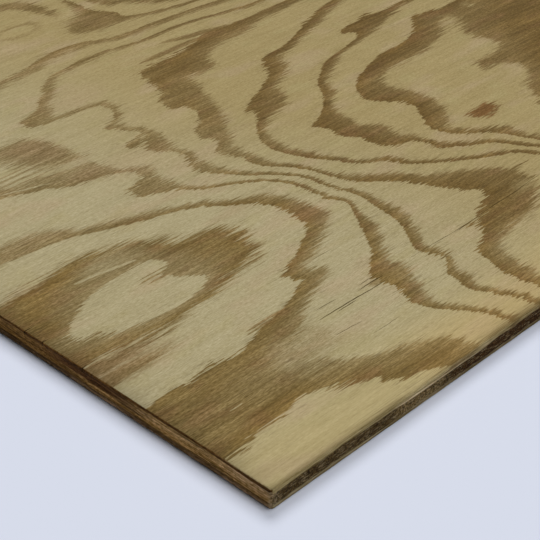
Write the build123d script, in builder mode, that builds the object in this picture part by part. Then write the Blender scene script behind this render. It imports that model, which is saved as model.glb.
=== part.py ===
"""A three-ply softwood plywood sheet, lying flat with its face up.

Millimetres. The long side and the outer veneers' grain run along X, the width along Y and the
thickness along Z. The origin is the middle of the underside.
"""
import os

from build123d import *

# Sheet
sheet_length = 2440.0
sheet_width = 1220.0

# Veneers, from the underside up: the core's grain runs across the sheet, along Y
back_thickness = 2.1
core_thickness = 4.8
face_thickness = 2.1

# Edges: upright corners blunted by handling, and arrises eased by the sander
corner_radius = 1.5
arris_radius = 0.6

# Glue lines
core_bottom = back_thickness
core_top = core_bottom + core_thickness


# Back veneer, eased underneath
with BuildPart() as back_ply:
    with BuildSketch(Plane.XY):
        RectangleRounded(sheet_length, sheet_width, corner_radius)
    extrude(amount=back_thickness)
    underside = back_ply.faces().sort_by(Axis.Z)[0]
    fillet(underside.edges(), arris_radius)
back_ply.part.label = "back_ply"


# Core veneer, square-edged between the two glue lines
with BuildPart() as core_ply:
    with BuildSketch(Plane.XY.offset(core_bottom)):
        RectangleRounded(sheet_length, sheet_width, corner_radius)
    extrude(amount=core_thickness)
core_ply.part.label = "core_ply"


# Face veneer, eased on top
with BuildPart() as face_ply:
    with BuildSketch(Plane.XY.offset(core_top)):
        RectangleRounded(sheet_length, sheet_width, corner_radius)
    extrude(amount=face_thickness)
    upper_side = face_ply.faces().sort_by(Axis.Z)[-1]
    fillet(upper_side.edges(), arris_radius)
face_ply.part.label = "face_ply"


os.makedirs("parts", exist_ok=True)
export_step(back_ply.part, "parts/back_ply.step")
export_step(core_ply.part, "parts/core_ply.step")
export_step(face_ply.part, "parts/face_ply.step")
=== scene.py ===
import math

import bpy
import numpy as np
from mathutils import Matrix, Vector, noise
from mathutils.geometry import delaunay_2d_cdt


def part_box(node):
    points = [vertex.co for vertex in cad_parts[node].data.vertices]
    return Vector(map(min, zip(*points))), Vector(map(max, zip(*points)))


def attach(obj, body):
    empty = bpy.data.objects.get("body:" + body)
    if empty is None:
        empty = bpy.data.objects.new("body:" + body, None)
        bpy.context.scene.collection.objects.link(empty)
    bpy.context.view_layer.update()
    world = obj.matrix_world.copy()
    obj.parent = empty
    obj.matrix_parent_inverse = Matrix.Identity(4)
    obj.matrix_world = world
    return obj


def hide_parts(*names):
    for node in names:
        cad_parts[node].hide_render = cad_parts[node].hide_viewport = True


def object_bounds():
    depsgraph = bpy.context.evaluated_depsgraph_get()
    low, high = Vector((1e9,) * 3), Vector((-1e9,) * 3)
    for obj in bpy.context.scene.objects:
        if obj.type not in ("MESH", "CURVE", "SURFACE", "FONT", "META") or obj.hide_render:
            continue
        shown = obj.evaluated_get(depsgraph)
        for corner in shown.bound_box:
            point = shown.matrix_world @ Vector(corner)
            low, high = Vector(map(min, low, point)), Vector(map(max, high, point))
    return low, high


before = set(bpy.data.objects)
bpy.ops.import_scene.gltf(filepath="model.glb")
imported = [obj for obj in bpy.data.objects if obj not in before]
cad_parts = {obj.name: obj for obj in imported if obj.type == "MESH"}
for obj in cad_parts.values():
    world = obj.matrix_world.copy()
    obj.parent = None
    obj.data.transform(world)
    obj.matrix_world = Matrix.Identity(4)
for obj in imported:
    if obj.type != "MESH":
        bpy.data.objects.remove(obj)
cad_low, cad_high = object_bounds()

# Places on the sheet are in millimetres from its photographed corner: x along the face grain, y across
# it and z up from the floor. The meshes are in metres.
MM = 0.001
sheet_length = (cad_high.x - cad_low.x) / MM
sheet_width = (cad_high.y - cad_low.y) / MM
sheet_thickness = (cad_high.z - cad_low.z) / MM
corner_place = np.array(cad_low) / MM
core_bottom, core_top = (corner.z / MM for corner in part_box("core_ply"))

# Camera, from the vanishing points of the sheet's edges: place, angles in degrees, focal length in the
# picture's pixels, and clip in metres
camera_place = (-280.7, -269.6, 352.9)
camera_pitch = 33.02
camera_yaw = 46.08
focal_pixels = 1487
picture_pixels = 540
sensor_width = 36
camera_clip = (0.01, 1000)

# Light: two soft round lamps overhead, each with its lean in degrees towards x and towards y, its width
# in degrees and its share of the light, a little fill from all around, and the backdrop
lamps = {
    "lamp_behind": (28.6, 28.3, 29.2, 0.42),
    "lamp_above": (10.2, -3.2, 23.8, 0.54),
}
fill_strength = 0.04
backdrop_strength = 0.85
backdrop_colour = (0.96, 0.98, 1, 1)

# Floor, with its sizes in metres
floor_half_width = 150
floor_drop = 0.00003
floor_colour = (215, 220, 234)

# Gloss of sanded wood, and the share of the bump that shows
wood_gloss = 0.04
bump_strength = 0.6

# Colours as in the photo, 0 to 255: earlywood and latewood of the broad faces
early_cool = (171, 159, 122)
# Yellower earlywood, also darker: partly its own tone, partly painted shade away from the corner
early_yellow_shaded = (162, 144, 99)
early_pale = (177, 160, 113)
early_blotch = (174, 153, 120)
early_patch = (165, 152, 106)
early_golden = (186, 161, 110)
early_rosy = (172, 150, 116)
late_cool = (122, 101, 57)
# Warmer latewood, also darker: partly its own tone, partly painted shade away from the corner
late_warm_shaded = (107, 84, 42)
late_blotch = (127, 100, 50)
late_patch = (119, 88, 53)
late_golden = (142, 109, 56)
late_rosy = (123, 93, 58)

# Marks in the broad faces, their darker rims, and painted shade for the inside of a split
knot_brown = (116, 74, 34)
hair_brown = (88, 70, 40)
# Drying checks, painted as dark lines: painted shade of their gaps
check_painted_shade = (62, 46, 8)
rim_brown = (96, 80, 48)
torn_brown = (92, 74, 42)
grime_brown = (98, 80, 46)
split_painted_shade = (70, 50, 26)
black = (0, 0, 0)

# Sawn ends, from the back veneer up, their wear, and the core's hidden broad sides
# The back veneer's end is painted lighter near the floor: painted light against the shade there
end_back_low_painted_light = (186, 150, 106)
end_back_high = (118, 88, 50)
end_back_far = (70, 48, 24)
end_low = (174, 132, 72)
end_middle = (190, 151, 94)
end_high = (164, 127, 70)
end_far = (134, 96, 44)
end_line = (88, 58, 22)
end_arris = (164, 144, 102)
end_rubbed = (212, 174, 128)
dark_patch_brown = (86, 52, 22)
rubbed_grey = (168, 144, 104)
# Torn pits, painted dark: painted shade in the hollows
pit_painted_shade = (56, 37, 17)
hidden_dark = (146, 118, 78)
hidden_pale = (172, 145, 102)

# Sawn long edges: the core, then the outer veneers
core_dark = (106, 83, 46)
core_red = (86, 56, 22)
core_pale = (158, 130, 82)
core_fibre = (184, 160, 116)
# Hollows in the core's end grain, painted dark: painted shade in them
core_hollow_painted_shade = (40, 29, 14)
# The outer veneers' long edge, painted darker low down and lighter at the top: painted shade and light
outer_low_painted_shade = (172, 150, 98)
outer_high_painted_light = (188, 165, 110)
outer_pale = (204, 180, 124)
outer_late = (132, 102, 56)
outer_far = (120, 98, 60)
joint_pale = (228, 204, 156)
side_back = (168, 149, 104)
side_back_far = (96, 74, 42)

# Edges: radii, depth of the saw's marks, what wear adds to the arris at the photographed corner, and
# numbers of mesh steps and of levels in a wall
corner_radius = 1.5
arris_radius = 0.6
bottom_arris = 0.12
sawn_roughness = 0.24
corner_wear = 0.9
corner_wear_reach = 3
corner_steps = 6
arris_steps = 4
wall_levels = 5

# Splits in the face veneer's end: place across the sheet and length. Other points of the outline keep
# clear of them.
splits = ((101.4, 2), (125.9, 3), (136.9, 5))
split_half_width = 0.22
split_clearance = 0.3

# How far from the photographed corner, as x and y together, the marks of its edges can show
marks_reach = 650

# Dark red-brown patch in the seen end: where it begins and is full, and where it is still full and ends
dark_patch_reach = (52, 88, 108, 140)

# Paler stretches of outer veneer and of core in the seen long edge: middle, and how far to either side
# each is full and ends
pale_outer = (97, 18, 36)
pale_core = (81, 8, 20)

# Drying checks in the face, and streaks of it that are paler or darker than the rings there: both ends,
# and half the width
# The checks are painted only, as dark lines of painted shade
checks = (
    ((85, 57.2), (130, 57), 0.27),
    ((97, 56), (109, 56.2), 0.16),
    ((114, 59.9), (131, 60.4), 0.22),
    ((117, 62.2), (131, 62.6), 0.14),
    ((175, 60), (250, 63.5), 0.21),
    ((148, 60.7), (192, 60.8), 0.14),
    ((84, 45.5), (100, 44.6), 0.13),
    ((118, 90), (131, 90.2), 0.16),
    ((91, 63.2), (104, 62.6), 0.14),
    ((95, 35.8), (113, 35.4), 0.09),
)
pale_streaks = (
    ((35, 149), (50, 147.6), 0.7),
    ((47, 147.3), (67, 144.3), 0.8),
    ((-9, 100.9), (20, 100.5), 0.5),
    ((21, 41.8), (28, 41.5), 0.25),
    ((58, 230.5), (84, 222.5), 0.6),
    ((83, 231), (118, 227), 3),
)
dark_streaks = (
    ((198, 289.8), (250, 291), 2.4),
    ((224, 301), (268, 291.5), 2.6),
    ((54, 231.8), (90, 232.6), 0.7),
    ((56, 235.6), (92, 236), 0.8),
    ((60, 239.4), (92, 240), 0.8),
    ((64, 243.2), (90, 243), 0.7),
    ((230, 76.3), (257, 75.3), 0.7),
    ((24, 95), (48, 95.6), 0.5),
    ((53, 128.8), (78, 129.2), 0.7),
    ((57, 126.4), (76, 126.6), 0.5),
    ((55, 131.4), (77, 131.6), 0.4),
    ((60, 72.9), (86, 73.6), 0.8),
    ((59, 70.9), (80, 71.3), 0.7),
    ((61, 69), (74, 69.2), 0.5),
)

# A knot, a faint eye and stretches of weak latewood in the face: middle, half the length and half the
# width. Smudges as well, each with its strength.
knot = (283.5, 122.5, 11.5, 6.6)
faint_eye = (179, 371, 14, 6.8)
weak_latewood = (
    (64, 46, 16, 16),
    (58, 151, 24, 9),
    (236, 63, 10, 6.5),
)
smudges = (
    ((3, 88, 38, 5.6), 0.85),
    ((2, 96, 36, 4.8), 0.85),
    ((98, 244, 12, 9), 0.85),
    ((73, 51, 15, 12), 0.4),
    ((125, 58.8, 5, 2.2), 0.7),
)

# Pinkish patches of the face, given in the same way
rosy_patches = (
    (6, 94, 40, 13),
    (98, 252, 20, 18),
    (147, 118, 12, 16),
    (122, 210, 26, 16),
    (150, 285, 22, 16),
    (101, 217, 16, 9),
)

# Mesh points inside the face, in bands by their distance from the part that the photo shows: spacing,
# where the band begins and ends, and its margin to the sheet's outline. Then the back's band, and the
# distance at which points merge.
face_bands = (
    (2.2, -math.inf, 8, 2.4),
    (5, 8, 60, 5),
    (13, 60, math.inf, 8),
)
back_band = (13, -math.inf, math.inf, 8)
merge_distance = 1e-5
no_points = np.zeros((0, 2))

# Mesh points along the edges, close together next to the photographed corner
seen_edge_length = 175
seen_edge_spacing = 0.8
far_edge_spacing = 10

# The part of the face that the camera sees, as the corners of its outline away from the sheet's edges
seen_corners = ((0, 151), (200, 414), (421, 185), (157, 0))

# Growth rings of that part. Each ring's dark latewood starts at a crisp edge, where the ring count is
# whole, and fades out late_share of a ring later, at its soft edge. The points were read off.
late_share = 0.35
crisp_edges = (
    (1, [(280, 341), (272, 345.5), (264, 352), (257, 360), (250, 366), (246, 372), (243, 382)]),
    (1, [(11, 121), (18, 115), (28, 109.5), (42, 107), (56, 106), (70, 108.5), (76, 112), (74, 118),
        (69, 122), (67, 127), (71, 131), (74, 135), (68, 140.5), (54, 139.5), (38, 137.5), (25, 132.5),
        (16, 126), (11, 121)]),
    (2, [(0, 181), (24, 182), (45, 180), (60, 177.5), (76, 171), (92, 165.5), (112, 158.5), (124, 149.5),
        (136, 139), (141, 130), (140, 120), (136, 109.5), (122, 101.5), (112, 96.5), (100, 90), (103, 84),
        (94, 78), (84, 75), (74, 72.5), (65, 70), (57, 67), (46, 65), (40, 67), (28, 67.3), (22, 65.3),
        (14, 67.6), (4, 66), (-10, 65)]),
    (2, [(-10, 22.8), (8, 22.3), (20, 24.8), (32, 25.8), (45, 27.2), (53, 26), (58, 21.5), (68, 19),
        (74, 16), (73, 12.5), (80, 9.5), (80, 7), (90, 5.5), (97, 1), (99, -10)]),
    (2, [(292, 331), (275, 333.5), (262, 335.5), (250, 338.5), (241, 341), (236, 346), (237, 351),
        (232, 358), (228, 366), (229, 374), (228, 382), (229, 394)]),
    (3, [(40, 233), (60, 226), (76, 220), (88, 212.5), (104, 209.5), (118, 202), (113, 196), (100, 189),
        (110, 180), (120, 174.5), (127, 168), (138, 162), (150, 154), (159, 142.5), (161.5, 128),
        (161.5, 120), (165, 111), (158, 100), (151, 90), (142, 77), (131, 69), (125, 60), (127, 51),
        (123, 41), (125, 31), (132, 21), (138, 12), (140, 0), (141, -10)]),
    (3, [(110, 322), (130, 327), (150, 329), (165, 334), (182, 336), (198, 333), (212, 326.5), (235, 326),
        (262, 325), (290, 322.5), (320, 318)]),
    (4, [(320, 306), (300, 305), (280, 308), (262, 311.5), (240, 313.5), (220, 312.5), (195, 317),
        (170, 315), (156, 313), (148, 308), (140, 300), (131, 293), (126, 286.5), (113, 283), (109, 278),
        (116, 271.5), (135, 269), (150, 267), (152, 261), (147, 252), (137, 247.5), (141, 239), (146, 231),
        (143, 228.5), (131, 226), (131, 221.5), (138, 218.5), (137, 213), (139, 208), (145, 200),
        (141, 191), (137, 181), (145, 171), (151, 162), (160, 153), (168, 140.5), (171, 123), (173.5, 112),
        (171.5, 98), (168, 84), (164, 76), (157, 66), (157, 56), (159, 49.5), (151, 43), (149, 36),
        (147.5, 27), (153, 16), (157, 7), (158, -10)]),
    (5, [(330, 294), (300, 293), (282, 292), (262, 293.5), (251, 294), (240, 290.5), (226, 286.5),
        (208, 284.5), (192, 282.5), (188.5, 278), (188, 270), (184, 260), (176, 249), (173, 241),
        (181, 231), (176, 220), (165, 212), (162, 203), (166, 198), (158, 187), (161, 175), (163, 163),
        (170, 154), (176, 142), (179, 130), (184, 119), (193, 111), (200, 101), (205, 90), (211, 80),
        (216, 73.5), (209, 68), (198, 61.5), (188, 58), (187, 50.5), (174, 44), (170, 34), (167, 19),
        (170, 4), (174, -10)]),
    (6, [(350, 277), (322, 271), (305, 265), (290, 258), (270, 250.5), (251, 247.5), (242, 239), (236, 230),
        (224, 223), (206, 214.5), (198, 208), (200, 203), (193, 196.5), (184, 187), (178, 174), (179, 165),
        (184, 152), (191, 141), (198, 131), (208, 123.5), (211, 116), (225, 104), (239, 94), (254, 86),
        (262, 77), (268, 64)]),
    (7, [(385, 243), (360, 243.5), (343, 242.5), (331, 246), (322, 243), (310, 242.5), (304, 237),
        (309, 230.5), (295, 225), (272, 220.5), (257, 212), (246, 203), (240, 195), (231, 186), (219, 178),
        (209, 173.5), (214, 165), (212, 155), (217, 148), (217, 139), (222, 130), (231, 128), (236, 122.5),
        (235, 117), (244, 106.5), (257, 99), (264, 88), (270, 78), (276, 66)]),
    (8, [(420, 226), (392, 222), (370, 221), (350, 225), (341, 217), (332, 210), (318, 206), (300, 204.5),
        (280, 199), (267, 194), (255, 184), (251, 172), (258, 162), (262, 151), (253, 138), (249, 131),
        (251, 120), (258, 112), (268, 102), (273, 90), (280, 76)]),
)
soft_edges = (
    (1, [(-10, 156), (8, 159), (26, 160.5), (42, 164), (60, 162), (76, 155), (92, 143), (106, 139.5),
        (114, 131), (111, 118), (106, 111), (92, 107), (76, 102.5), (56, 99.5), (38, 98.5), (20, 99),
        (-10, 99)]),
    (1, [(272, 339.5), (265, 343.5), (258, 348.5), (252, 355), (245, 359.5), (239, 365), (235, 374)]),
    (2, [(0, 193), (30, 194), (46, 193), (58, 189), (66, 181.5), (85, 174), (105, 167), (121, 159),
        (135, 149), (146, 142.5), (152, 130), (154, 115), (148, 107.5), (136, 99.5), (124, 93), (114, 87),
        (116, 81), (107, 75), (96, 70.5), (87, 65), (78, 58.5), (71, 51.5), (68, 44), (70, 37), (77, 31),
        (87, 26), (99, 21.5), (111, 15.5), (117, 6), (119, -10)]),
    (2, [(290, 327.5), (275, 329.5), (262, 331), (250, 333.5), (238, 337), (222, 338.5), (210, 340),
        (202, 344), (199, 350), (205, 357), (213, 362), (220, 370), (223, 380), (224, 394)]),
    (2, [(190, 402), (194, 408), (201, 406), (208, 401), (211, 390), (211, 378), (207, 374), (203, 382),
        (200, 390), (196, 397), (190, 402)]),
    (3, [(84, 268), (100, 266), (108, 255), (110, 240), (111, 222), (115, 209.5), (126, 201), (122, 190),
        (125, 178), (131, 169), (142, 163.5), (154, 155), (163, 143), (165, 129), (166, 120), (168, 112),
        (164, 101), (158.5, 86), (149, 76), (144, 67), (142, 57), (137, 47), (131, 37), (133, 28),
        (139, 18), (144, 8), (147, -10)]),
    (3, [(110, 316), (132, 320), (150, 322.5), (168, 327), (184, 329), (200, 325), (214, 320.5), (235, 321),
        (262, 319.5), (290, 316), (320, 311)]),
    (4, [(320, 301), (300, 301.5), (280, 304), (262, 308), (240, 310), (220, 309.5), (195, 312.5),
        (172, 311.5), (158, 308.5), (150, 302), (143, 294), (136, 287), (131, 281), (130, 274.5),
        (142, 272.5), (155, 270.5), (158, 264), (153, 253), (146, 246), (147, 239), (151, 231), (152, 222),
        (149, 212), (147, 205), (150, 199), (147, 190), (148, 178), (153, 168), (158, 161), (165, 153),
        (172, 141), (174.5, 124), (178.5, 112), (178.5, 98), (175, 84), (170, 74), (164, 66), (163, 56),
        (163, 48.5), (157, 42), (156, 35), (153, 27), (157, 17), (162, 8), (163, -10)]),
    (5, [(330, 286), (300, 285), (282, 283), (270, 278.5), (252, 277), (236, 273.5), (229, 265),
        (222, 257.5), (204, 257.5), (203, 248), (199, 238), (194, 228), (189, 216), (180, 204), (175, 196),
        (168.5, 186), (168.5, 172), (170, 162), (177, 150), (181, 138), (185, 129), (192, 121), (203, 113),
        (212, 101), (226, 92), (238, 84), (243, 78), (244, 67), (236, 57), (225, 49), (212, 45.5),
        (198, 43.5), (188, 40.5), (182, 35), (179, 26), (177, 15), (178, -10)]),
    (6, [(350, 271), (322, 262.5), (304, 255.5), (285, 250), (268, 243.5), (256, 239), (251, 229),
        (241, 222.5), (231, 218), (226, 208), (216, 199), (200, 193.5), (190, 186), (186, 174), (187, 161),
        (193, 147), (201, 133), (213, 125.5), (217, 115.5), (228, 106.5), (242, 97), (257, 89), (266, 79),
        (272, 66)]),
    (7, [(385, 238), (360, 238), (343, 233), (325, 228), (308, 224), (290, 221), (274, 215), (263, 208.5),
        (252, 201.5), (247, 191), (237, 184.5), (230.5, 173), (230, 155), (236, 148), (233, 136),
        (239, 129), (241.5, 119), (249, 108.5), (261, 101), (268, 91), (274, 80), (280, 68)]),
    (8, [(354, 190), (352, 181), (355, 170), (346, 162), (326, 161), (322, 154.5), (336, 148), (341, 142),
        (334, 132), (322, 124), (315, 113), (304, 98)]),
    (8, [(352, 203), (342, 197), (325, 191), (305, 189.5), (285, 187.5), (275, 182.5), (271, 174),
        (276, 156), (271, 138), (262, 128), (257, 121), (266, 112), (275, 104), (279, 92), (287, 78)]),
)
# Ring counts in the middle of wide zones: x, y and count
ring_counts = (
    (45, 120, 0.75), (8, 128, 1.2), (90, 125, 1.17), (18, 45, 2.13), (45, 46, 2.22), (88, 46, 2.42),
    (92, 56, 2.42), (197, 403, 2.26), (205, 392, 2.26), (208, 382, 2.3), (177, 372, 2.6),
    (176, 352, 2.65), (192, 385, 2.6), (195, 360, 2.55), (75, 243, 3.4), (70, 233, 3.4), (99, 259, 3.24),
    (103, 242, 3.2), (94, 247, 3.27), (94, 233, 3.33), (106, 230, 3.36), (96, 219, 3.2), (186, 292, 4.75),
    (174, 288, 4.7), (160, 290, 4.65), (212, 266, 5.2), (218, 249, 5.5), (225, 75, 5.17), (205, 52, 5.15),
    (200, 39.5, 5.55), (218, 43, 5.55), (259, 66, 5.7), (284, 122.5, 8.55), (310, 165, 8.75),
    (300, 150, 8.75), (292, 172, 8.7), (325, 178, 8.72), (292, 138, 8.65), (300, 118, 8.65),
    (290, 105, 8.65), (310, 140, 8.65), (365, 207, 8.36), (382, 208, 8.3), (386, 214, 8.34),
    (372, 196, 8.25), (395, 200, 8.15), (400, 185, 8.12), (395, 170, 8.1), (375, 165, 8.12),
    (355, 152, 8.18), (348, 138, 8.2), (334, 117, 8.2), (350, 110, 8.12), (331, 156, 8.24),
    (420, 190, 8.12),
)

# Spacing of the places taken along each edge, and the ring field's scale, its slack, the smallest square
# of a distance, and how many points are worked out at once
ring_step = 6.5
ring_scale = 100
ring_slack = 1e-6
smallest_square = 1e-12
points_at_once = 2000

# Rings of the rest of the sheet: rough length and width of their waves, how many rings they span, and
# the number of waves. Then their mean, and how far out the photographed rings pass into them.
wave_sets = (
    (1100, 420, 2.4, 16),
    (300, 110, 0.45, 24),
    (90, 50, 0.10, 24),
)
mean_ring = 4.5
blend_reach = 170

# Directions of the grain
ALONG_X = 0
ALONG_Y = 1


def curve_through(points, step):
    """Points about a step apart on a smooth curve through the given ones."""
    p = np.array(points, float)
    p = np.vstack([2 * p[0] - p[1], p, 2 * p[-1] - p[-2]])
    run = []
    for a, b, c, d in zip(p, p[1:], p[2:], p[3:]):
        count = max(1, round(math.dist(b, c) / step))
        t = (np.arange(count) / count)[:, None]
        bends = (2 * a - 5 * b + 4 * c - d) * t**2 + (3 * b - 3 * c + d - a) * t**3
        run.append(b + 0.5 * ((c - a) * t + bends))
    return np.vstack(run + [p[-2:-1]])


class RingField:
    """A smooth ring count over the sheet that takes the given values at the given places."""

    def __init__(self, places, values):
        self.places = places / ring_scale
        count = len(places)
        system = np.zeros((count + 3, count + 3))
        system[:count, :count] = self.kernel(self.places, self.places)[0] + ring_slack * np.eye(count)
        system[:count, count] = 1
        system[:count, count + 1:] = self.places
        system[count:, :count] = system[:count, count:].T
        self.weights = np.linalg.solve(system, np.append(values, [0, 0, 0]))

    @staticmethod
    def kernel(at, places):
        """Each place's share at each point, and how fast it grows along x and along y."""
        away_x = at[:, None, 0] - places[None, :, 0]
        away_y = at[:, None, 1] - places[None, :, 1]
        square = away_x**2 + away_y**2 + smallest_square
        logarithm = np.log(square)
        return 0.5 * square * logarithm, away_x * (logarithm + 1), away_y * (logarithm + 1)

    def __call__(self, at):
        """The ring count at each point, and its growth per millimetre along x and along y."""
        rings = np.empty((len(at), 3))
        w = self.weights
        for start in range(0, len(at), points_at_once):
            part = slice(start, start + points_at_once)
            scaled = at[part] / ring_scale
            share, growth_x, growth_y = self.kernel(scaled, self.places)
            rings[part, 0] = share @ w[:-3] + w[-3] + scaled @ w[-2:]
            rings[part, 1] = (growth_x @ w[:-3] + w[-2]) / ring_scale
            rings[part, 2] = (growth_y @ w[:-3] + w[-1]) / ring_scale
        return rings


def traced_rings():
    """The ring field of the part of the face that the photo shows."""
    places = [np.array([(x, y) for x, y, _ in ring_counts], float)]
    values = [np.array([count for _, _, count in ring_counts])]
    for edges, later in ((crisp_edges, 0), (soft_edges, late_share)):
        for ring, curve in edges:
            run = curve_through(curve, ring_step)
            places.append(run)
            values.append(np.full(len(run), ring + later))
    return RingField(np.vstack(places), np.concatenate(values))


def wave_rings(at, seed):
    """A ring count that rolls in long waves, and its growth per millimetre along x and along y."""
    random = np.random.default_rng(seed)
    rings = np.zeros((len(at), 3))
    rings[:, 0] = mean_ring
    for wave_length, wave_width, spanned, count in wave_sets:
        swing = spanned * math.sqrt(2 / count)
        for _ in range(count):
            along = random.normal() * 2 * math.pi / wave_length
            across = random.normal() * 2 * math.pi / wave_width
            angle = along * at[:, 0] + across * at[:, 1] + random.uniform(0, 2 * math.pi)
            rings[:, 0] += swing * np.cos(angle)
            rings[:, 1] -= swing * along * np.sin(angle)
            rings[:, 2] -= swing * across * np.sin(angle)
    return rings


def distance_from_seen(at):
    """How far each point lies outside the part of the face that the photo shows."""
    away = np.full(len(at), -math.inf)
    for (x0, y0), (x1, y1) in zip(seen_corners, seen_corners[1:]):
        reach = math.hypot(x1 - x0, y1 - y0)
        outward = (at[:, 0] - x0) * (y0 - y1) / reach + (at[:, 1] - y0) * (x1 - x0) / reach
        away = np.maximum(away, outward)
    return away


def face_rings(at):
    """The face's ring count and its growth: as traced where it is seen, in waves elsewhere."""
    rings = wave_rings(at, seed=11)
    away = distance_from_seen(at)
    near = away < blend_reach
    part = np.clip(away[near] / blend_reach, 0, 1)
    share = 1 - part * part * (3 - 2 * part)
    rings[near] += share[:, None] * (traced_rings()(at[near]) - rings[near])
    return rings


def back_rings(at):
    """The back's ring count and its growth."""
    return wave_rings(at, seed=23)


def stops(length, fine_start=False, fine_end=False):
    """Places from 0 up to a length, close together over its fine stretches."""
    start = seen_edge_length if fine_start else 0
    end = length - seen_edge_length if fine_end else length
    before = np.arange(0, start, seen_edge_spacing)
    middle = np.linspace(start, end, round((end - start) / far_edge_spacing), endpoint=False)
    after = np.arange(end, length, seen_edge_spacing)
    return np.concatenate([before, middle, after])


def plan_outline():
    """Points round the sheet from its photographed corner, and the direction outward at each."""
    long_run = sheet_length - 2 * corner_radius
    end_run = sheet_width - 2 * corner_radius
    split_sides = (-split_half_width, 0, split_half_width)
    split_places = [place + side for place, _ in splits for side in split_sides]
    left_stops = stops(end_run, fine_end=True)
    split_stops = [end_run + corner_radius - place for place in split_places]
    clear = np.all([abs(left_stops - stop) > split_clearance for stop in split_stops], axis=0)
    left_stops = np.sort(np.append(left_stops[clear], split_stops))
    sides = (
        ((corner_radius, 0), (1, 0), stops(long_run, fine_start=True)),
        ((sheet_length, corner_radius), (0, 1), stops(end_run)),
        ((sheet_length - corner_radius, sheet_width), (-1, 0), stops(long_run)),
        ((0, sheet_width - corner_radius), (0, -1), left_stops),
    )
    points = []
    outward = []
    for start, direction, places in sides:
        direction = np.array(direction, float)
        normal = np.array([direction[1], -direction[0]])
        turn_centre = np.array(start) - normal * corner_radius
        for angle in np.linspace(-math.pi / 2, 0, corner_steps, endpoint=False):
            spoke = math.cos(angle) * normal + math.sin(angle) * direction
            points.append(turn_centre + corner_radius * spoke)
            outward.append(spoke)
        for place in places:
            points.append(np.array(start) + place * direction)
            outward.append(normal)
    return np.array(points), np.array(outward)


def lattice(spacing, nearest, farthest, margin):
    """Points in a triangular pattern over the sheet, where they lie between two distances from the part
    that the photo shows, and a margin or more inside the sheet's outline."""
    rows = np.arange(margin, sheet_width - margin, spacing * math.sqrt(0.75))
    columns = np.arange(margin, sheet_length - margin, spacing)
    x, y = np.meshgrid(columns, rows)
    x[1::2] += spacing / 2
    at = np.stack([x.ravel(), y.ravel()], -1)
    away = distance_from_seen(at)
    inside = at[:, 0] < sheet_length - margin
    return at[(away >= nearest) & (away < farthest) & inside]


def roughness_at(points, z, seed):
    """How far a sawn edge lies inside its plane, between 0 and sawn_roughness, at points of one height."""
    values = []
    for x, y in points:
        coarse = noise.noise(Vector((x * 0.11, y * 0.11, z * 0.5 + seed)))
        fine = noise.noise(Vector((x * 0.8, y * 0.8, z * 0.9 - seed)))
        values.append(0.5 + 0.5 * coarse + 0.35 * fine)
    return sawn_roughness * np.clip(values, 0, 1)


def wall_profile(bottom, top, eased):
    """Heights of a ply's wall and how far each lies inside the outline, from the bottom up. Eased is
    "top", "bottom" or None: the side whose arris is rounded off."""
    turns = [math.pi / 2 * step / arris_steps for step in range(1, arris_steps + 1)]
    low = bottom + (bottom_arris if eased == "bottom" else 0)
    high = top - (arris_radius if eased == "top" else 0)
    wall = [(z, 0) for z in np.linspace(low, high, wall_levels)]
    if eased == "top":
        wall += [(high + arris_radius * math.sin(a), arris_radius * (1 - math.cos(a))) for a in turns]
    if eased == "bottom":
        under = [(low - bottom_arris * math.sin(a), bottom_arris * (1 - math.cos(a))) for a in turns]
        wall = under[::-1] + wall
    return wall


def fill(outline, inner):
    """Triangles that fill an outline, with points inside it, as indices into outline then inner."""
    count = len(outline)
    points = [Vector(p) for p in np.vstack([outline, inner])]
    rim = list(range(count))
    inside_only = 1
    _, _, triangles, sources, _, _ = delaunay_2d_cdt(points, [], [rim], inside_only, merge_distance)
    return [[sources[corner][0] for corner in triangle] for triangle in triangles]


def ply_loops(bottom, top, eased, seed, cuts=()):
    """The loops of points round a ply's rough sawn wall, from the bottom up, with cuts as of splits."""
    outline, outward = plan_outline()
    from_corner = np.hypot(outline[:, 0], outline[:, 1])
    wear = 1 + corner_wear * np.exp(-((from_corner / corner_wear_reach) ** 2))
    cut = np.zeros_like(outline)
    for place, length in cuts:
        near = (outline[:, 0] < arris_radius) & (abs(outline[:, 1] - place) < split_half_width / 2)
        cut[near, 0] = length
    loops = []
    for z, inset in wall_profile(bottom, top, eased):
        depth = inset * wear + roughness_at(outline, z, seed)
        plan = outline - outward * depth[:, None] + cut
        loops.append(np.column_stack([plan, np.full(len(plan), z)]))
    return loops


def add_object(name, data):
    """A new object in the scene."""
    thing = bpy.data.objects.new(name, data)
    bpy.context.scene.collection.objects.link(thing)
    return thing


def ply_mesh(name, loops, inner, inner_on_top):
    """A ply as a closed mesh from the loops of its wall. Inner points make the face that shows finer.
    Returns the object and the places of its vertices."""
    count = len(loops[0])
    top_start = (len(loops) - 1) * count
    inner_start = top_start + count
    faces = []
    for low in range(0, top_start, count):
        high = low + count
        for here in range(count):
            beside = (here + 1) % count
            faces.append([low + here, low + beside, high + beside, high + here])
    for start, loop, upper in ((0, loops[0], False), (top_start, loops[-1], True)):
        for triangle in fill(loop[:, :2], inner if upper == inner_on_top else no_points):
            corners = [start + i if i < count else inner_start + i - count for i in triangle]
            faces.append(corners if upper else corners[::-1])
    inner_z = loops[-1 if inner_on_top else 0][0, 2]
    places = np.vstack([*loops, np.column_stack([inner, np.full(len(inner), inner_z)])])
    mesh = bpy.data.meshes.new(name)
    mesh.from_pydata(((places + corner_place) * MM).tolist(), [], faces)
    return add_object(name, mesh), places


def store(piece, name, values):
    """Keeps a number at each vertex of a piece."""
    layer = piece.data.attributes.new(name, "FLOAT", "POINT")
    layer.data.foreach_set("value", np.asarray(values, np.float32))


def shade_of(red, green, blue):
    """A colour written as in the photo, 0 to 255, as the shaders take it."""
    steps = [part / 255 for part in (red, green, blue)]
    linear = [step / 12.92 if step <= 0.04045 else ((step + 0.055) / 1.055) ** 2.4 for step in steps]
    return (*linear, 1)


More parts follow.
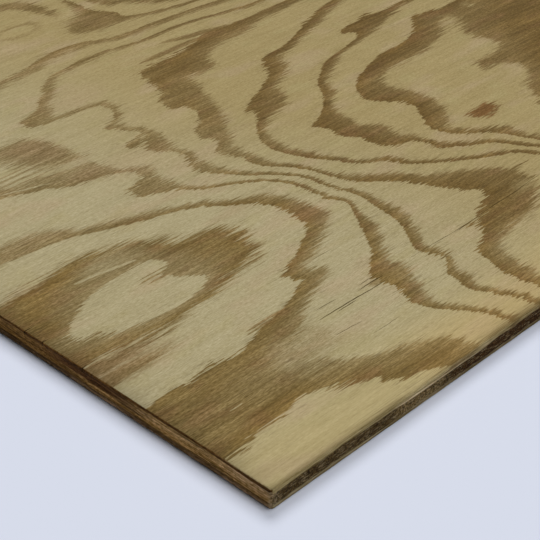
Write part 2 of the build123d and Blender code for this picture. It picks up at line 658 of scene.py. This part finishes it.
class Value:
    """A number, place or colour at each point of a material. Numbers add, subtract, multiply, divide."""

    def __init__(self, graph, socket):
        self.graph = graph
        self.socket = socket

    def __add__(self, other):
        return self.graph.math("ADD", self, other)

    def __sub__(self, other):
        return self.graph.math("SUBTRACT", self, other)

    def __rsub__(self, other):
        return self.graph.math("SUBTRACT", other, self)

    def __mul__(self, other):
        return self.graph.math("MULTIPLY", self, other)

    def __truediv__(self, other):
        return self.graph.math("DIVIDE", self, other)

    def __abs__(self):
        return self.graph.math("ABSOLUTE", self)


class Graph:
    """A material, and short calls that add its nodes."""

    def __init__(self, name):
        self.material = bpy.data.materials.new(name)
        self.material.use_nodes = True
        self.tree = self.material.node_tree
        self.shader = self.tree.nodes["Principled BSDF"]
        self.grains = {}

        # Place in millimetres from the photographed corner
        coordinates = Value(self, self.node("TexCoord").outputs["Object"])
        self.place = self.vector("MULTIPLY_ADD", coordinates, (1 / MM,) * 3, tuple(-corner_place))
        self.x, self.y, self.z = self.split(self.place)

        # How far inside the nearer long edge
        self.from_side = self.lesser(self.y, sheet_width - self.y)

        # 1 round the photographed corner, 0 over the rest of the sheet
        self.photographed = self.math("LESS_THAN", self.x + self.y, marks_reach)

        # How squarely the surface faces along each axis
        normal = Value(self, self.node("NewGeometry").outputs["Normal"])
        self.facing = [abs(part) for part in self.split(normal)]

    def feed(self, socket, value):
        """Links or sets one input."""
        if isinstance(value, Value):
            self.tree.links.new(value.socket, socket)
        else:
            socket.default_value = value

    def node(self, kind):
        return self.tree.nodes.new("ShaderNode" + kind)

    def wire(self, node, values):
        """Feeds a node's inputs in their order, and gives its first output."""
        for socket, value in zip(node.inputs, values):
            self.feed(socket, value)
        return Value(self, node.outputs[0])

    def math(self, operation, *values):
        """A sum on numbers."""
        node = self.node("Math")
        node.operation = operation
        return self.wire(node, values)

    def vector(self, operation, *values):
        """A sum on places or colours."""
        node = self.node("VectorMath")
        node.operation = operation
        return self.wire(node, values)

    def lesser(self, first, second):
        return self.math("MINIMUM", first, second)

    def greater(self, first, second):
        return self.math("MAXIMUM", first, second)

    def split(self, vector):
        """The three parts of a vector."""
        node = self.node("SeparateXYZ")
        self.feed(node.inputs[0], vector)
        return [Value(self, part) for part in node.outputs[:3]]

    def step(self, value, low, high, out_low=0, out_high=1):
        """A smooth step from out_low to out_high as the value goes from low to high."""
        node = self.node("MapRange")
        node.interpolation_type = "SMOOTHSTEP"
        return self.wire(node, (value, low, high, out_low, out_high))

    def mix(self, share, first, second):
        """The first colour with that share of the second."""
        node = self.node("Mix")
        node.data_type = "RGBA"
        self.feed(node.inputs["Factor"], share)
        for socket, shade in zip(node.inputs[6:8], (first, second)):
            self.feed(socket, shade_of(*shade) if isinstance(shade, tuple) else shade)
        return Value(self, node.outputs[2])

    def attribute(self, name):
        """A number stored at the mesh's vertices."""
        node = self.node("Attribute")
        node.attribute_name = name
        return Value(self, node.outputs["Fac"])

    def grain(self, axis, length, width, seed, detail=2):
        """Noise about -1 to 1 in streaks of that length along the grain and that width across it. Each
        seed stands for one noise, which is made once."""
        if seed not in self.grains:
            size = [1 / length if i == axis else 1 / width for i in range(3)]
            shift = (seed * 7.3, seed * 3.7, seed * 5.1)
            node = self.node("TexNoise")
            self.feed(node.inputs["Vector"], self.vector("MULTIPLY_ADD", self.place, size, shift))
            node.inputs["Scale"].default_value = 1
            node.inputs["Detail"].default_value = detail
            self.grains[seed] = self.step(Value(self, node.outputs["Fac"]), 0.2, 0.8, -1, 1)
        return self.grains[seed]

    def brighten(self, shade, amount, strength):
        """The shade lighter and less yellow where the amount is above 0, and the reverse below."""
        change = self.vector("MULTIPLY_ADD", amount * strength, (1, 1.1, 1.5), (1, 1, 1))
        return self.vector("MULTIPLY", shade, change)

    def finish(self, shade, height, roughness, depth):
        """Feeds the shader and gives the material. The depth is that of the bump, in millimetres."""
        self.feed(self.shader.inputs["Base Color"], shade)
        self.feed(self.shader.inputs["Roughness"], roughness)
        self.shader.inputs["Specular IOR Level"].default_value = wood_gloss
        bump = self.node("Bump")
        bump.inputs["Strength"].default_value = bump_strength
        bump.inputs["Distance"].default_value = depth * MM
        self.feed(bump.inputs["Height"], height)
        self.tree.links.new(bump.outputs[0], self.shader.inputs["Normal"])
        return self.material


def latewood(graph):
    """Share of dark latewood on a face, and the same with the strips beside it: toothed and crisp on
    one side, and fading in streaks on the other."""
    pitch = graph.attribute("ring_pitch")
    slope = graph.attribute("ring_slope")
    tooth = graph.grain(ALONG_X, 14, 0.9, seed=1, detail=3)
    jag = graph.grain(ALONG_X, 50, 4, seed=2)
    wobble = graph.grain(ALONG_X, 12, 0.9, seed=9)
    streak = graph.grain(ALONG_X, 18, 0.9, seed=3, detail=3)

    # The ring count, with its curves pulled about along the grain and a little to their sides, less
    # where rings lie close together
    reach = graph.step(graph.grain(ALONG_X, 50, 18, seed=10), -0.5, 0.8, 0.5, 1.6)
    calm = pitch * 24 + 1
    count = slope / calm * ((tooth * 3 + jag * 2) * reach) + graph.attribute("ring")
    count = pitch / calm * (wobble * 2.6 * reach) + count
    part = graph.math("FRACT", count)
    first_ring = graph.math("LESS_THAN", count, 2)

    # Crisp start, streaked end and strength between them
    start = graph.step(part / graph.lesser(pitch * 0.9, 0.07), 0, 1)
    fade = graph.lesser(graph.greater(pitch * 2.2, 0.03), 0.1) * (first_ring * 0.7 + 1)
    end = graph.step(streak * 1.3 + (part - late_share) / fade, -1, 1, 1, 0)
    inmost = first_ring * graph.step(part, 0, 0.3, -0.25, 0.2)
    late = start * end * (graph.step(part, 0, late_share, 1, 0.8) + inmost)

    # Strips of fine hair lines before and after, in millimetres
    before = graph.step((1 - part) / pitch, 0, 9, 0.6, 0)
    after = graph.step((part - late_share) / pitch, 0, 12, 0.6, 0)
    return late, graph.greater(late, graph.greater(before, after))


def fine_lines(graph, lines):
    """Share of thin lines on the face, each given by both ends and half its width."""
    wander = graph.grain(ALONG_X, 20, 6, seed=8)
    ragged = graph.grain(ALONG_X, 9, 0.6, seed=15)
    total = 0
    for (x0, y0), (x1, y1), half_width in lines:
        rise = (y1 - y0) / (x1 - x0)
        line = graph.x * rise + (y0 - x0 * rise)
        across = abs(wander * 0.5 + (graph.y - line)) / half_width
        along = abs(graph.x - (x0 + x1) / 2) * (2 / (x1 - x0))
        bulge = ragged * 0.3 + (across + graph.math("POWER", along, 4))
        total = graph.greater(total, graph.step(bulge, 0.6, 1.3, 1, 0))
    return total


def away_from(graph, spot, tatter=0.2):
    """Distance from the middle of an oval spot, which is 1 at its outline, torn by the tatter."""
    middle_x, middle_y, half_length, half_width = spot
    along = (graph.x - middle_x) / half_length
    across = (graph.y - middle_y) / half_width
    ragged = graph.grain(ALONG_X, 9, 1.2, seed=14)
    return ragged * tatter + graph.math("SQRT", across * across + along * along)


def marks_onto(graph, late):
    """The share of latewood with the seen face's own streaks and spots, and the knot's share."""
    late = graph.greater(late, fine_lines(graph, dark_streaks) * 0.8)
    late = late * (fine_lines(graph, pale_streaks) * -0.8 + 1)
    for patch in weak_latewood:
        late = late * graph.step(away_from(graph, patch), 0.2, 1.1, 0.6, 1)
    from_outline = abs(away_from(graph, faint_eye) - 1)
    late = graph.greater(late, graph.step(from_outline, 0.05, 0.35, 0.4, 0))
    for smudge, share in smudges:
        late = graph.greater(late, graph.step(away_from(graph, smudge), 0.4, 1.25, share, 0))
    in_knot = graph.step(away_from(graph, knot, 0.45), 0.6, 1.1, 1, 0)
    return graph.greater(late, in_knot * 0.9), in_knot


def tints_onto(graph, early, dark):
    """Earlywood and latewood colours with the seen face's golden strip and pinkish patches."""
    golden = graph.step(graph.y, 4, 32, 1, 0) * graph.step(graph.x, 76, 104)
    golden = golden * graph.step(graph.x, 300, 420, 1, 0)
    early = graph.mix(golden * 0.5, early, early_golden)
    dark = graph.mix(golden * 0.35, dark, late_golden)
    rosy = 0
    for patch in rosy_patches:
        rosy = graph.greater(rosy, graph.step(away_from(graph, patch), 0.2, 1.1, 0.5, 0))
    return graph.mix(rosy * 0.7, early, early_rosy), graph.mix(rosy, dark, late_rosy)


def face_look(graph, seen):
    """Colour, latewood and fibres of a broad face with grain along x, with the seen face's marks."""
    late, near_late = latewood(graph)
    if seen:
        late, in_knot = marks_onto(graph, late)

    # Wood that turns warmer, yellower and darker away from the photographed corner
    # The darkening there is partly the wood's own tone, partly painted shade for the light falling off
    inward = graph.x + graph.step(graph.y, 280, 700, 0, 260)
    warmer_and_shaded = graph.step(inward, 115, 265)
    yellower_and_shaded = graph.step(inward + graph.step(graph.y, 110, 250, 0, 55), 115, 265)
    paler = graph.step(graph.y, 8, 48, 1, 0) * (graph.step(graph.x, 280, 500, 1, 0) * 0.8)
    blotch = graph.grain(ALONG_X, 40, 18, seed=4)
    patch = graph.grain(ALONG_X, 22, 9, seed=12)
    early = graph.mix(yellower_and_shaded, early_cool, early_yellow_shaded)
    early = graph.mix(paler, early, early_pale)
    early = graph.mix(graph.step(blotch, 0, 0.9, 0, 0.5), early, early_blotch)
    early = graph.mix(graph.step(patch, 0.1, 0.9, 0, 0.35), early, early_patch)
    dark = graph.mix(warmer_and_shaded, late_cool, late_warm_shaded)
    dark = graph.mix(graph.step(blotch, -0.2, 0.8, 0, 0.5), dark, late_blotch)
    dark = graph.mix(graph.step(patch, 0, 0.9, 0, 0.5), dark, late_patch)
    if seen:
        early, dark = tints_onto(graph, early, dark)
        dark = graph.mix(in_knot * 0.7, dark, knot_brown)

    # Latewood that is fainter over broad stretches
    faded = graph.step(graph.y, 155, 190, 0, -0.22) * graph.step(inward, 160, 205, 1, 0)
    faded = graph.lesser(faded, graph.step(graph.y, 270, 330, 0, -0.15))
    broad = graph.grain(ALONG_X, 420, 150, seed=16) * graph.step(graph.x + graph.y, 620, 1000)
    faded = graph.lesser(broad, 0) * 0.45 + faded
    shade = graph.mix(late * (faded + 1), early, dark)

    # Fibres, strands and bands along the grain, stronger in the latewood
    fibre = graph.grain(ALONG_X, 2.1, 0.42, seed=5, detail=3)
    strand = graph.grain(ALONG_X, 20, 1, seed=6)
    band = graph.grain(ALONG_X, 50, 5, seed=7)
    shade = graph.brighten(shade, fibre, late * 0.25 + graph.step(graph.y, 5, 45, 0.09, 0.18))
    shade = graph.brighten(shade, strand, graph.step(late, 0, 1, 0.07, 0.25))
    shade = graph.brighten(shade, band, graph.step(late, 0, 1, 0.04, 0.17))
    shade = graph.brighten(shade, broad, -0.07)
    hair = graph.step(graph.grain(ALONG_X, 9, 0.4, seed=13, detail=1), 0.3, 0.75)
    hair = hair * graph.step(near_late, 0, 1, 0.13, 0.5)
    return graph.mix(hair, shade, hair_brown), late, fibre


def sawn_texture(graph, shade, axis, length, width, seed):
    """The shade with a sawn edge's streaks and specks, its torn pits painted dark as painted shade, and the
    specks alone.
    """
    streak = graph.grain(axis, length, width, seed=seed, detail=3)
    speck = graph.grain(axis, 1.6, 0.5, seed=seed + 1)
    pit = graph.grain(axis, length * 0.7, 0.9, seed=seed + 2, detail=3)
    shade = graph.brighten(graph.brighten(shade, streak, 0.6), speck, 0.5)
    return graph.mix(graph.step(pit, 0.25, 0.7, 0, 0.75), shade, pit_painted_shade), speck


def worn_corner(graph, shade):
    """The shade with the greyish rubbed patch at the sheet's photographed corner."""
    along = (graph.x - 1) * 0.5
    away = graph.math("SQRT", along * along + graph.y * graph.y)
    return graph.mix(graph.step(away, 0.4, 2.6, 0.75, 0), shade, rubbed_grey)


def end_look(graph):
    """An end of the sheet: end grain of the outer veneers as dark lines above and below, and the core's
    brown long grain between, a dark red-brown patch in the seen end, and painted light low on the back
    veneer."""
    height = graph.grain(ALONG_Y, 26, 40, seed=40) * 0.4 + graph.z
    shade = graph.mix(graph.step(height, 4.2, 5.6), end_low, end_middle)
    shade = graph.mix(graph.step(height, 6.6, 7.4), shade, end_high)
    shade = graph.brighten(shade, graph.grain(ALONG_Y, 70, 3, seed=43), 0.25)
    shade = graph.mix(graph.step(graph.y, 96, 122, 0, 0.85), shade, end_far)
    begins, full, still_full, ends = dark_patch_reach
    dark_patch = graph.step(graph.y, begins, full, 0, 0.95) * graph.step(graph.y, still_full, ends, 1, 0)
    dark_patch = dark_patch * graph.step(height, 4.2, 5.4, 0.25, 1) * graph.photographed
    shade = graph.mix(dark_patch, shade, dark_patch_brown)
    # Painted light: the back veneer's end is painted lighter towards the floor, against the shade there
    back = graph.mix(graph.step(graph.z, 0.2, 2), end_back_low_painted_light, end_back_high)
    back = graph.mix(graph.step(graph.y, 98, 116, 0, 0.4), back, end_back_far)
    shade = graph.mix(graph.step(height, 2.3, 2.9, 1, 0), shade, back)
    by_corner = graph.step(graph.y, 10, 32, 1, 0)
    rubbed = by_corner * graph.step(height, 2, 6.4, 0, 0.5)
    shade = worn_corner(graph, graph.mix(rubbed, shade, end_rubbed))
    top_line = graph.step(by_corner * 0.6 + height, 7.7, 8.2)
    shade = graph.mix(top_line, shade, end_line)
    rubbed_arris = by_corner * graph.step(graph.z, 8.5, 8.9, 0, 0.7)
    shade = graph.mix(rubbed_arris, shade, end_arris)
    return sawn_texture(graph, shade, ALONG_Y, 34, 0.6, seed=30)


def pale_stretch(graph, middle, full, end):
    """Share of a paler stretch of the seen long edge."""
    return graph.step(abs(graph.x - middle), full, end, 1, 0) * graph.photographed


def outer_streak(graph):
    """The long fibres of an outer veneer's sawn long edge, which also run over its arris."""
    return graph.grain(ALONG_X, 30, 0.5, seed=20, detail=3)


def side_core(graph, beyond, fibre):
    """A long edge's dark torn end grain, its hollows painted dark as painted shade, and its specks."""
    hollow = graph.grain(ALONG_Y, 2, 0.55, seed=45)
    shade = graph.mix(beyond, core_dark, core_red)
    shade = graph.mix(pale_stretch(graph, *pale_core), shade, core_pale)
    shade, speck = sawn_texture(graph, worn_corner(graph, shade), ALONG_Y, 2.2, 0.9, seed=34)
    shade = graph.mix(graph.step(fibre, 0.2, 0.6, 0, 0.75), shade, core_fibre)
    return graph.mix(graph.step(hollow, 0.05, 0.4, 0, 0.75), shade, core_hollow_painted_shade), speck


def side_look(graph, late):
    """A long edge of the sheet: the outer veneers' pale long grain above and below, and the core's dark
    torn end grain between, paler over one stretch of the seen edge and redder beyond it."""
    height = graph.grain(ALONG_X, 18, 40, seed=41) * 0.3 + graph.z
    fibre = graph.grain(ALONG_X, 5, 0.5, seed=44)
    beyond = graph.step(graph.x, 92, 114)
    pale = pale_stretch(graph, *pale_outer)
    core, speck = side_core(graph, beyond, fibre)
    above_joint = height - (pale * -0.9 + core_top)
    joint_line = graph.step(abs(above_joint - 0.4), 0.2, 0.9, 1, 0) * pale
    # Painted shade and light: the edge is painted darker low down and lighter at its top, as light falls
    outer = graph.mix(graph.step(graph.z, 7.2, 8.8), outer_low_painted_shade, outer_high_painted_light)
    outer = graph.mix(pale * 0.6, outer, outer_pale)
    outer = graph.mix(joint_line, outer, joint_pale)
    outer = graph.mix(late * 0.6, outer, outer_late)
    outer = graph.mix(beyond * 0.2, outer, outer_far)
    back = graph.mix(graph.step(graph.x, 48, 110, 0, 0.35), side_back, side_back_far)
    outer = graph.mix(graph.step(graph.z, 3, 4, 1, 0), outer, back)
    outer = graph.brighten(graph.brighten(outer, outer_streak(graph), 0.6), fibre, 0.3)
    above = graph.step(above_joint, -0.2, 0.3)
    below = graph.step(height + graph.step(graph.x, 45, 65, 0, 0.35), 1.6, 2, 1, 0)
    return graph.mix(graph.greater(above, below), core, outer), speck


def edges_onto(graph, shade, height, late):
    """A ply's colour and height with those of its sawn edges where it faces outward."""
    side, side_height = side_look(graph, late)
    end, end_height = end_look(graph)
    # Painted shade: walls facing across the sheet away from its long edges, inside the splits, are dark
    side = graph.mix(graph.step(graph.from_side, 3, 4), side, split_painted_shade)
    across_side = graph.step(graph.facing[1], 0.65, 0.95)
    across_end = graph.step(graph.facing[0], 0.35, 0.6)
    shade = graph.mix(across_end, graph.mix(across_side, shade, side), end)
    outward = graph.greater(across_side, across_end)
    return shade, (side_height + end_height) * 1.5 * outward + height


def outer_material(name, seen):
    """The face or back veneer: ring figure on its broad side, darker towards the sheet's edges."""
    graph = Graph(name)
    shade, late, fibre = face_look(graph, seen)
    if seen:
        # Painted shade: the checks are painted as dark lines
        shade = graph.mix(fine_lines(graph, checks) * 0.9, shade, check_painted_shade)
    rim = graph.step(graph.from_side, 0, 3, 1, 0) * (pale_stretch(graph, *pale_outer) * -0.3 + 0.5)
    shade = graph.mix(rim, shade, rim_brown)
    torn = graph.step(outer_streak(graph), 0, 0.5) * graph.step(graph.x, 30, 60, 0.15, 0.5)
    torn = torn * graph.step(graph.from_side, 1, 6, 1, 0)
    shade = graph.mix(torn, shade, torn_brown)
    grime = graph.step(graph.x, 116, 128) * graph.step(graph.from_side, 0, 6, 0.4, 0)
    shade = graph.mix(grime, shade, grime_brown)
    from_end = graph.lesser(graph.x, sheet_length - graph.x)
    dulling = graph.math("EXPONENT", from_end / -6) * graph.step(graph.y, 4, 20, 0.2, 0.34)
    shade = graph.mix(dulling, shade, black)
    shade, height = edges_onto(graph, shade, fibre, late)
    return graph.finish(shade, height, graph.step(late, 0, 1, 0.72, 0.6), depth=0.08)


def core_material(name):
    """The core veneer, which shows only its sawn edges."""
    graph = Graph(name)
    hidden = graph.grain(ALONG_Y, 9, 0.4, seed=38, detail=3)
    shade = graph.mix(graph.step(hidden, -0.8, 0.8), hidden_dark, hidden_pale)
    shade, height = edges_onto(graph, shade, hidden, late=0)
    return graph.finish(shade, height, 0.75, depth=0.12)


def add_ply(node, material, loops, inner, inner_on_top, rings):
    """Builds a ply in place of its CAD node, with its rings kept at its vertices."""
    piece, places = ply_mesh(node.replace("ply", "veneer"), loops, inner, inner_on_top)
    if rings:
        count, growth_x, growth_y = rings(places[:, :2]).T
        store(piece, "ring", count)
        store(piece, "ring_slope", growth_x)
        store(piece, "ring_pitch", np.hypot(growth_x, growth_y))
    piece.data.materials.append(material)
    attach(piece, "root")
    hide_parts(node)


def add_camera():
    """The photo's camera, which looks down on the photographed corner."""
    camera = add_object("camera", bpy.data.cameras.new("camera"))
    camera.data.sensor_width = sensor_width
    camera.data.lens = focal_pixels * sensor_width / picture_pixels
    camera.data.clip_start, camera.data.clip_end = camera_clip
    camera.location = (corner_place + np.array(camera_place)) * MM
    camera.rotation_euler = (math.radians(90 - camera_pitch), 0, math.radians(-camera_yaw))
    bpy.context.scene.camera = camera


def add_lamp(name, lean_x, lean_y, width, share):
    """A far lamp whose light on level ground is that share of the full light."""
    x = math.sin(math.radians(lean_x))
    y = math.cos(math.radians(lean_x)) * math.sin(math.radians(lean_y))
    z = math.cos(math.radians(lean_x)) * math.cos(math.radians(lean_y))
    lamp = add_object(name, bpy.data.lights.new(name, "SUN"))
    lamp.data.energy = share * math.pi / z
    lamp.data.angle = math.radians(width)
    lamp.rotation_euler = Vector((x, y, z)).to_track_quat("Z", "Y").to_euler()


def add_world():
    """The weak fill light, behind which the camera sees a pale backdrop."""
    world = bpy.data.worlds.new("world")
    world.use_nodes = True
    nodes = world.node_tree.nodes
    links = world.node_tree.links
    path = nodes.new("ShaderNodeLightPath")
    strength = nodes.new("ShaderNodeMix")
    strength.inputs[2].default_value = fill_strength
    strength.inputs[3].default_value = backdrop_strength
    seen = nodes.new("ShaderNodeMath")
    seen.operation = "MAXIMUM"
    for socket, ray in zip(seen.inputs, ("Is Camera Ray", "Is Transmission Ray")):
        links.new(path.outputs[ray], socket)
    links.new(seen.outputs[0], strength.inputs[0])
    links.new(strength.outputs[0], nodes["Background"].inputs["Strength"])
    nodes["Background"].inputs["Color"].default_value = backdrop_colour
    bpy.context.scene.world = world


def add_floor():
    """A plain pale floor a hair's breadth under the sheet, in metres."""
    mesh = bpy.data.meshes.new("floor")
    half = floor_half_width
    corners = [(x * half, y * half, -floor_drop) for x, y in ((-1, -1), (1, -1), (1, 1), (-1, 1))]
    mesh.from_pydata(corners, [], [(0, 1, 2, 3)])
    material = bpy.data.materials.new("floor")
    material.use_nodes = True
    shader = material.node_tree.nodes["Principled BSDF"]
    shader.inputs["Base Color"].default_value = shade_of(*floor_colour)
    shader.inputs["Roughness"].default_value = 0.9
    shader.inputs["Specular IOR Level"].default_value = 0
    mesh.materials.append(material)
    floor = add_object("floor", mesh)


bpy.context.scene.view_settings.view_transform = "Standard"
add_camera()
for name, placing in lamps.items():
    add_lamp(name, *placing)
add_world()
add_floor()

face_points = np.vstack([lattice(*band) for band in face_bands])
back_points = lattice(*back_band)
face_loops = ply_loops(core_top, sheet_thickness, "top", seed=3, cuts=splits)
core_loops = ply_loops(core_bottom, core_top, None, seed=5)
back_loops = ply_loops(0, core_bottom, "bottom", seed=7)

add_ply("face_ply", outer_material("face_veneer", seen=True), face_loops, face_points,
        inner_on_top=True, rings=face_rings)
add_ply("core_ply", core_material("core_veneer"), core_loops, no_points,
        inner_on_top=True, rings=None)
add_ply("back_ply", outer_material("back_veneer", seen=False), back_loops, back_points,
        inner_on_top=False, rings=back_rings)
